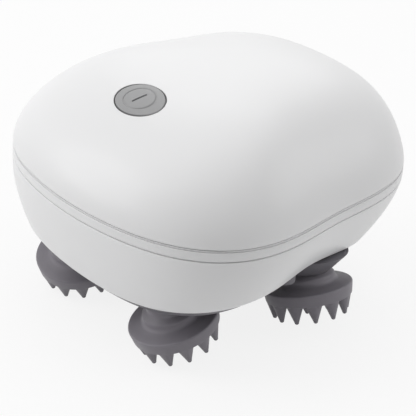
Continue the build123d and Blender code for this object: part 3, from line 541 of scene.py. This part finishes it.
dashSize = {"long": 5.6, "wide": 0.9, "deep": 0.5, "turn": -16.0, "steps": 12, "cutHigh": 2.0,
            "sunk": 0.15, "slack": 0.04, "edge": ((0.08, 0.0), (0.02, 0.05), (0.0, 0.15))}


def closedSlot(name, slack, levels):
    # a slot with round ends, from one outline for each (height, shrink)
    size = dashSize
    long, wide = size["long"] - slack, size["wide"] - slack
    half = long / 2 - wide / 2
    place = buttonPlace @ Matrix.Rotation(radians(size["turn"]), 4, "Z")
    rings = []
    for height, shrink in levels:
        radius = wide / 2 - shrink
        ring = []
        for side in (1, -1):
            for k in range(size["steps"] + 1):
                angle = pi * k / size["steps"] - pi / 2
                x, y = half + radius * cos(angle), radius * sin(angle)
                ring.append(place @ Vector((side * x, side * y, height)))
        rings.append(ring)
    return asObject(name, ringMesh(capped(rings)))


def makeButton():
    size = dashSize
    cap = makeButtonCap()
    low, high = buttonSize["proud"] - size["deep"], buttonSize["proud"] - size["sunk"]
    carve(cap, closedSlot("dashCutter", 0.0, [(low, 0.0), (size["cutHigh"], 0.0)]))
    dress(cap, "button", "button", "button_cap")
    edge = [(high - drop, shrink) for drop, shrink in size["edge"]]
    bar = closedSlot("indicatorBar", size["slack"], [(low, 0.0), *edge])
    dress(bar, "lamp", "button", "indicator_bar")


gasketSize = {"inner": 0.1, "outer": 0.45, "sunk": 0.2, "edge": 0.08, "innerDip": 0.1, "outerDip": 0.08,
              "below": 0.2, "above": 4.0, "holeReach": 9.0}


def cutButtonHole():
    outer, reach = gasketSize["outer"], gasketSize["holeReach"]
    rings = [onButtonAxis(-reach), marginRing(outer, -reach),
             marginRing(outer, reach), onButtonAxis(reach)]
    carve(topShell, asObject("holeCutter", ringMesh(rings)))


def makeGasket(shellTree):
    # a thin ring whose top follows the dome, which is found along the button's axis
    size = gasketSize
    inner, outer, edge = size["inner"], size["outer"], size["edge"]
    tops = []
    for start in marginRing((inner + outer) / 2, size["above"]):
        hit = shellTree.ray_cast(start * mm, -buttonAxis)[0]
        tops.append(size["above"] - (hit / mm - start).length - size["sunk"])
    foot = -form["wall"] - size["below"]
    rings = [marginRing(inner, foot)]
    for margin, dip in ((inner, size["innerDip"]), (inner + edge, 0.0), (outer - edge, 0.0),
                        (outer, size["outerDip"])):
        level = marginRing(margin, 0.0)
        rings.append([point + buttonAxis * (top - dip) for point, top in zip(level, tops)])
    rings.append(marginRing(outer, foot))
    gasket = asObject("buttonGasket", ringMesh(rings, closed=True))
    dress(gasket, "gasket", "case", "button_gasket")


wholeDome = BVHTree.FromObject(topShell, bpy.context.evaluated_depsgraph_get())
cutButtonHole()
dress(topShell, "shell", "case", "top_shell")
makeButton()
makeGasket(wholeDome)
print("button and its gasket made")


bandSize = {"groove": 0.3, "grooveDeep": 0.8, "beadLow": 0.62, "beadIn": 0.22, "beadEdge": 0.1,
            "secondGroove": 0.92, "secondDeep": 0.5, "edge": 0.3, "edgeSteps": 4,
            "tongueOut": 2.8, "tongueIn": 4.0, "tongueHigh": 2.5}


def makeBand():
    # under the upper shell's edge: a groove, a fine bead, a second groove, then the band's face
    size = bandSize
    low, clear = form["bandHeight"], form["seamClear"]
    deep, bead, second = size["grooveDeep"], size["beadIn"], size["secondDeep"]
    section = roundedProfile([
        ((0, -size["secondGroove"]), size["edge"] / 2), ((0, -low), size["edge"]),
        ((size["tongueIn"], -low), 0), ((size["tongueIn"], size["tongueHigh"]), 0),
        ((size["tongueOut"], size["tongueHigh"]), 0), ((size["tongueOut"], -clear), 0),
        ((deep, -clear), 0), ((deep, -size["groove"]), 0),
        ((bead, -size["groove"]), size["beadEdge"]), ((bead, -size["beadLow"]), size["beadEdge"]),
        ((second, -size["beadLow"]), 0), ((second, -size["secondGroove"]), 0),
    ], size["edgeSteps"])
    rings = [lowerRing(-height, inset) for inset, height in section]
    dress(asObject("trimBand", ringMesh(rings, closed=True)), "trim", "case", "trim_band")


makeBand()


lowerSize = {"groove": 0.35, "grooveDeep": 0.8, "edge": 0.3, "edgeSteps": 3, "rows": 34,
             "rim": 0.8, "rimSteps": 5, "rimInner": 0.3, "rimShare": 0.3, "inside": 2.7, "ledge": 1.0,
             "insideShares": (0.75, 0.5, 0.25),
             "portDrop": 9.5, "portWide": 11.0, "portHigh": 5.2, "portSlack": 0.2, "portSteps": 10,
             "portReach": 5.0}


def makeLowerShell():
    # rings from the groove under the band down the outside, round the rim and up the inside
    size = lowerSize
    top = form["bandHeight"] + form["seamClear"]
    start = form["bandHeight"] + size["groove"]
    wall, rim, edge, inner = form["wall"], size["rim"], size["edge"], size["rimInner"]
    rings = [lowerRing(top, size["grooveDeep"]), lowerRing(start, size["grooveDeep"])]
    rings += [lowerRing(start + edge * (1 - cos(turn)), edge * (1 - sin(turn)))
              for turn in quarterTurns(size["edgeSteps"])]
    ends = [rimDepth(angle, 0.0) - rim for angle in angles]

    def between(begin, share, inset=0.0):
        return [lowerPoint(begin + (end - begin) * share, angle, inset)
                for angle, end in zip(angles, ends)]

    def aboveArch(inset, lift):
        return [lowerPoint(rimDepth(angle, inset) - lift, angle, inset) for angle in angles]

    rings += [between(start + edge, row / size["rows"]) for row in range(1, size["rows"] + 1)]
    rings += [aboveArch(rim * (1 - cos(turn)), rim * (1 - sin(turn)))
              for turn in quarterTurns(size["rimSteps"], 1)]
    bevel = inner * size["rimShare"]
    rings += [aboveArch(wall - inner, 0.0), aboveArch(wall - bevel, bevel), aboveArch(wall, inner)]
    ledge = start + size["ledge"]
    rings += [between(ledge, share, wall) for share in size["insideShares"]]
    rings += [lowerRing(ledge, size["inside"]), lowerRing(top, size["inside"])]
    return asObject("lowerShell", ringMesh(rings, closed=True))


def portOutline(x, shrink):
    size = lowerSize
    radius = size["portHigh"] / 2 - size["portSlack"] - shrink
    halfWide = size["portWide"] / 2 - shrink - radius
    halfHigh = size["portHigh"] / 2 - shrink - radius
    ring = []
    for quarter, (sideY, sideZ) in enumerate(((1, 1), (-1, 1), (-1, -1), (1, -1))):
        for k in range(size["portSteps"] + 1):
            angle = pi / 2 * (quarter + k / size["portSteps"])
            ring.append(Vector((x, sideY * halfWide + radius * cos(angle),
                                seam - size["portDrop"] + sideZ * halfHigh + radius * sin(angle))))
    return ring


def closedPort(name, levels):
    return asObject(name, ringMesh(capped([portOutline(x, shrink) for x, shrink in levels])))


# the plug's outlines as (distance, shrink), from its back and from the shell's face
plugSize = {"back": ((0.0, 0.5), (0.4, 0.06)), "face": ((-0.3, 0.06), (0.02, 0.16), (0.12, 0.45))}


def makePlug():
    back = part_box("port_plug")[0][0] / mm
    face = lowerPoint(lowerSize["portDrop"], 0).x
    levels = [(back + distance, shrink) for distance, shrink in plugSize["back"]]
    levels += [(face + distance, shrink) for distance, shrink in plugSize["face"]]
    dress(closedPort("portPlug", levels), "plug", "plug", "port_plug")


lowerShell = makeLowerShell()
portX = upperWave(0) - middle
carve(lowerShell, closedPort("portCutter", [(portX - lowerSize["portReach"], 0),
                                            (portX + lowerSize["portReach"], 0)]))
dress(lowerShell, "shell", "case", "lower_shell")
makePlug()
print("band, lower shell and port plug made")


# lengths along a head's leaning axis run from its pivot, neckTop upwards and the rest down
headSize = {
    "neck": 7.5, "neckTop": 2.4, "neckLow": 3.5, "neckEdge": 1.4, "topEdge": 0.4, "sleeve": 5.2,
    "collar": 9.8, "collarTop": 5.25, "collarEdge": 1.3, "collarLow": 7.2, "flare": 1.8,
    "dip": 12.6, "dipTop": 8.15, "rim": 15.65, "rimTop": 8.7, "rimEdge": 0.7,
    "foot": 15.0, "footLow": 13.0, "footEdge": 0.3, "recess": 4.0, "recessEdge": 0.4,
    "core": 12.0, "coreLow": 11.5, "coreTop": 9.8, "around": 144, "edgeSteps": 6, "sharpAngle": 40.0,
}
fingerSize = {
    "count": 12, "ring": 12.55, "long": 6.5, "wide": 3.0, "deep": 2.35, "tip": 0.8,
    "innerCount": 6, "innerRing": 7.6, "innerLong": 4.3, "innerTurn": 0.25,
    "rootSwell": 0.12, "rootShare": 0.1, "sink": 0.6, "around": 24, "tipSteps": 5,
    "shares": (0, 0.03, 0.07, 0.12, 0.19, 0.3, 0.43, 0.56, 0.7, 0.82),
}


def placeOfHead(number):
    joint = next(j for j in frame["joints"] if j["name"] == f"head_{number}_wobble")
    up = Vector(joint["axis"]).normalized()
    level = Vector((-up.x, -up.y, 0)).normalized()
    across = (level - up * level.dot(up)).normalized()
    turn = Matrix((across, up.cross(across), up)).transposed().to_4x4()
    return Matrix.Translation(Vector(joint["pos_m"]) / mm) @ turn


def headProfile():
    size = headSize
    return roundedProfile([
        ((size["sleeve"], size["neckTop"]), 0), ((size["neck"], size["neckTop"]), size["topEdge"]),
        ((size["neck"], -size["neckLow"]), size["neckEdge"]),
        ((size["collar"], -size["collarTop"]), size["collarEdge"]),
        ((size["collar"], -size["collarLow"]), size["flare"]), ((size["dip"], -size["dipTop"]), 0),
        ((size["rim"], -size["rimTop"]), size["rimEdge"]),
        ((size["foot"], -size["footLow"]), size["footEdge"]),
        ((size["recess"], -size["footLow"]), size["recessEdge"]),
        ((size["recess"], -size["coreLow"]), 0), ((size["core"], -size["coreLow"]), 0),
        ((size["core"], -size["coreTop"]), 0), ((size["sleeve"], -size["coreTop"]), 0),
    ], size["edgeSteps"])


def fingerRings(ringRadius, angle, long, wide):
    # an upright finger, wider along the rim than across it, that tapers to a round tip
    size = fingerSize
    root, tip = -headSize["footLow"], size["tip"]
    tipStart = 1 - tip / long
    tipShares = [tipStart + (1 - tipStart) * sin(turn) for turn in quarterTurns(size["tipSteps"])[:-1]]
    outward = Vector((cos(angle), sin(angle), 0))
    along = Vector((-sin(angle), cos(angle), 0))
    rings = []
    for share in [-size["sink"] / long, *size["shares"], *tipShares]:
        taper = max(0.0, 1 - max(0.0, share) / tipStart)
        deepHalf = tip + (size["deep"] - tip) * taper
        swell = size["rootSwell"] * exp(-max(0.0, share) / size["rootShare"])
        wideHalf = tip + (wide - tip) * taper + swell
        if share > tipStart:
            shrink = sqrt(1 - ((share - tipStart) / (1 - tipStart)) ** 2)
            deepHalf, wideHalf = deepHalf * shrink, wideHalf * shrink
        centre = outward * ringRadius + Vector((0, 0, root - long * share))
        rings.append([centre + outward * deepHalf * cos(turn) + along * wideHalf * sin(turn)
                      for turn in roundTurns(size["around"])])
    top = outward * ringRadius + Vector((0, 0, root + size["sink"]))
    end = outward * ringRadius + Vector((0, 0, root - long))
    return [[top], *rings, [end]]


def placedMesh(rings, place, closed=False):
    return ringMesh([[place @ point for point in ring] for ring in rings], closed)


def makeHead(number):
    # a turned skin with two rings of fingers, each a closed form that is sunk into it
    size = fingerSize
    place = placeOfHead(number)
    turns = roundTurns(headSize["around"])
    skin = [[Vector((radius * cos(turn), radius * sin(turn), height)) for turn in turns]
            for radius, height in headProfile()]
    whole = placedMesh(skin, place, closed=True)
    rows = [(size["ring"], turn, size["long"], size["wide"]) for turn in roundTurns(size["count"])]
    innerTurn = 2 * pi * size["innerTurn"] / size["innerCount"]
    rows += [(size["innerRing"], turn + innerTurn, size["innerLong"], size["deep"])
             for turn in roundTurns(size["innerCount"])]
    for row in rows:
        finger = placedMesh(fingerRings(*row), place)
        part = bpy.data.meshes.new("finger")
        finger.to_mesh(part)
        finger.free()
        whole.from_mesh(part)
        bpy.data.meshes.remove(part)
    head = asObject(f"headSkin{number}", whole, headSize["sharpAngle"])
    dress(head, "silicone", f"head_{number}", f"head_skin_{number}")


padSize = {"radius": 9.8, "slope": 0.75, "rise": 8.0, "under": 0.9, "gap": 0.4, "thick": 0.8,
           "inside": 3.2, "sunk": 0.05, "lip": 0.6, "rounds": 4}


def makePadLid(number):
    # closes the cup of a pad where its lip stands outside the lower shell; two pads have no such lip
    size = padSize
    pivot = placeOfHead(number).translation
    bottom = pivot.z - size["under"]
    drop = Vector((0, 0, size["thick"]))
    sections = []
    for angle in angles:
        wallPoint = lowerPoint(rimDepth(angle, 0.0), angle)
        away = Vector((wallPoint.x - pivot.x, wallPoint.y - pivot.y, 0))
        outward = away.normalized()
        height = size["rise"]
        for _ in range(size["rounds"]):
            reach = size["radius"] + size["slope"] * height
            height = min(size["rise"], archHeight(pivot.x + outward.x * reach, -size["gap"]) - bottom)
        if away.length > reach:
            continue
        outer = pivot + outward * (reach - size["lip"])
        outer.z = bottom + height - size["sunk"]
        inner = lowerPoint(rimDepth(angle, size["inside"], -size["gap"]), angle, size["inside"])
        inner.z = min(bottom + size["rise"], inner.z) - size["sunk"]
        sections.append([inner, outer, outer - drop, inner - drop])
    if sections:
        dress(asObject(f"padLid{number}", ringMesh(capped(sections))), "cover", "case")


for number in range(1, 5):
    makeHead(number)
    makePadLid(number)
print("heads made")


# metres and watts
studio = {
    "floorHalf": 6.0, "floorShade": 0.85, "floorRoughness": 0.9, "floorGlow": 0.85, "worldLight": 0.31,
    "lampSize": 0.9, "lampAim": Vector((0, 0, 0.05)),
    "lamps": {
        "top": (Vector((0, 0, 1.2)), 1.3), "back": (Vector((0.62, 0.73, 0.75)), 1.6),
        "left": (Vector((-0.86, 0.7, 0.6)), 5.4), "right": (Vector((0.84, -0.7, 0.65)), 3.6),
        "backHigh": (Vector((0.35, 0.42, 1.05)), 2.0), "leftHigh": (Vector((-0.5, 0.4, 1.05)), 2.9),
    },
}
white = (1, 1, 1, 1)


def makeFloor():
    # a pale floor that glows where it is seen, and still shows the object's shadow
    half = studio["floorHalf"]
    mesh = bmesh.new()
    corners = [(-half, -half), (half, -half), (half, half), (-half, half)]
    mesh.faces.new([mesh.verts.new((x, y, 0)) for x, y in corners])
    floor = asObject("floor", mesh)
    shade = Shade("paleFloor", [studio["floorShade"]] * 3, studio["floorRoughness"])
    glow = shade.node("ShaderNodeEmission", inputs={"Color": white, "Strength": 1.0})
    lit = Port(shade, shade.surface.outputs[0])
    both = shade.node("ShaderNodeMixShader",
                      inputs={0: shade.seenPlainly() * studio["floorGlow"], 1: lit, 2: glow})
    shade.feed(shade.tree.nodes["Material Output"].inputs["Surface"], both)
    floor.data.materials.append(shade.material)


def makeWorld():
    # white where it is seen, and softer as a light
    world = bpy.data.worlds.new("studio")
    scene.world = world
    world.use_nodes = True
    maker = NodeMaker(world.node_tree)
    background = maker.tree.nodes["Background"]
    light = studio["worldLight"]
    maker.feed(background.inputs["Color"], white)
    maker.feed(background.inputs["Strength"], maker.seenPlainly() * (1 - light) + light)


def makeLamp(name, place, power):
    data = bpy.data.lights.new(name, "AREA")
    data.shape = "DISK"
    data.size = studio["lampSize"]
    data.energy = power
    lamp = bpy.data.objects.new(name, data)
    lamp.location = place
    lamp.rotation_euler = (studio["lampAim"] - place).to_track_quat("-Z", "Y").to_euler()
    scene.collection.objects.link(lamp)


# millimetres and degrees; the camera looks at the middle of the shell's plan, level with the seam
cameraSize = {"elevation": 26.27, "azimuth": 40.25, "distance": 540.4, "lens": 136.9, "roll": 2.55,
              "sensor": 36.0, "shiftX": 0.0383, "shiftY": -0.1223}


def makeCamera():
    size = cameraSize
    down, aside, roll = (radians(size[key]) for key in ("elevation", "azimuth", "roll"))
    forward = Vector((sin(aside) * cos(down), cos(aside) * cos(down), -sin(down)))
    right = Vector((cos(aside), -sin(aside), 0))
    up = right.cross(forward)
    rightRolled = right * cos(roll) + up * sin(roll)
    upRolled = up * cos(roll) - right * sin(roll)
    data = bpy.data.cameras.new("camera")
    data.lens = size["lens"]
    data.sensor_width = size["sensor"]
    data.shift_x, data.shift_y = size["shiftX"], size["shiftY"]
    camera = bpy.data.objects.new("camera", data)
    target = Vector((-middle, 0, seam))
    turn = Matrix((rightRolled, upRolled, -forward)).transposed().to_4x4()
    camera.matrix_world = Matrix.Translation((target - forward * size["distance"]) * mm) @ turn
    scene.collection.objects.link(camera)
    scene.camera = camera


makeFloor()
makeWorld()
for lampName, (place, power) in studio["lamps"].items():
    makeLamp(lampName, place, power)
makeCamera()
scene.view_settings.view_transform = "Standard"
print("floor, world, lamps and camera made")
